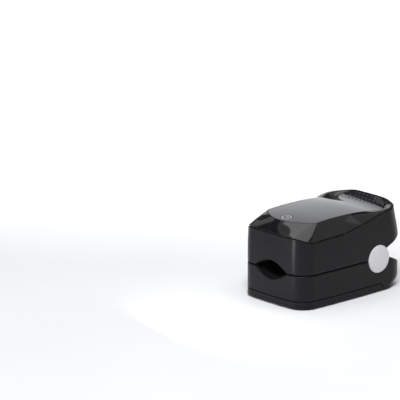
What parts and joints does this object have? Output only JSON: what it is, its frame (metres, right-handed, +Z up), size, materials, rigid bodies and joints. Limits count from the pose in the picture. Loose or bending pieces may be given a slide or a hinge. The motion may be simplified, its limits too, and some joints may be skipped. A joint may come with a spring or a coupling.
{
  "type": "fingertip pulse oximeter",
  "caption": "Clip-on fingertip pulse oximeter: sprung clamshell jaws with a padded finger channel, a display window, a round key and a slide-off battery cover.",
  "frame": {"origin": "centre of the footprint, on the plane that the battery cover rests on", "axes": "+Z up through the display, -Y towards the finger opening, +Y towards the pinch end, X from side to side"},
  "size_m": [0.0396, 0.061, 0.036],
  "materials": {
    "satin_black_abs": "satin moulded, fine texture",
    "gloss_black_abs": "piano gloss",
    "smoked_lens": "smoked gloss window",
    "white_cap": "semi-gloss moulded",
    "black_silicone": "soft matte",
    "inner_black": "matte",
    "board_green": "solder mask",
    "clear_window": "clear polished",
    "cell_wrap": "printed shrink sleeve",
    "flex_amber": "polyimide film",
    "spring_steel": "bright drawn"
  },
  "bodies": {
    "lower_jaw": {"lower_shell": "satin_black_abs", "lower_tray": "inner_black", "lower_pad": "black_silicone", "detector_board": "board_green", "detector_window": "clear_window", "battery_left": "cell_wrap", "battery_right": "cell_wrap", "battery_spring_left": "spring_steel", "battery_spring_right": "spring_steel", "contact_bridge": "spring_steel", "contact_rear_left": "spring_steel", "contact_rear_right": "spring_steel", "lower_screw_1": "spring_steel", "lower_screw_2": "spring_steel", "pivot_cap_left": "white_cap", "pivot_cap_right": "white_cap", "hinge_pin_left": "spring_steel", "hinge_pin_right": "spring_steel", "hinge_spring_left": "spring_steel", "hinge_spring_right": "spring_steel", "flex_cable": "flex_amber"},
    "upper_jaw": {"upper_shell": "satin_black_abs", "top_bezel": "gloss_black_abs", "display_lens": "smoked_lens", "tact_switch": "spring_steel", "display_module": "inner_black", "main_board": "board_green", "processor_chip": "inner_black", "upper_tray": "inner_black", "upper_pad": "black_silicone", "emitter_board": "board_green", "emitter_window": "clear_window", "upper_screw_1": "spring_steel", "upper_screw_2": "spring_steel", "upper_screw_3": "spring_steel", "upper_screw_4": "spring_steel"},
    "power_key": {"power_button": "smoked_lens", "switch_plunger": "inner_black"},
    "cover": {"battery_cover": "satin_black_abs"}
  },
  "joints": [
    {"name": "jaw_hinge", "type": "hinge", "parent": "lower_jaw", "child": "upper_jaw", "pos_m": [0, 0.0136, 0.0144], "axis": [-1, 0, 0], "range_deg": [0, 22], "stiffness_Nm_per_rad": 0.1, "springref_deg": -45.84, "deforming": ["hinge_spring_left", "hinge_spring_right", "flex_cable"]},
    {"name": "power_button", "type": "slide", "parent": "upper_jaw", "child": "power_key", "axis": [0, 0, -1], "range_m": [0, 0.0004], "stiffness_N_per_m": 200, "springref_m": -0.001},
    {"name": "battery_cover", "type": "slide", "parent": "lower_jaw", "child": "cover", "axis": [0, -1, 0], "range_m": [0, 0.048]}
  ]
}
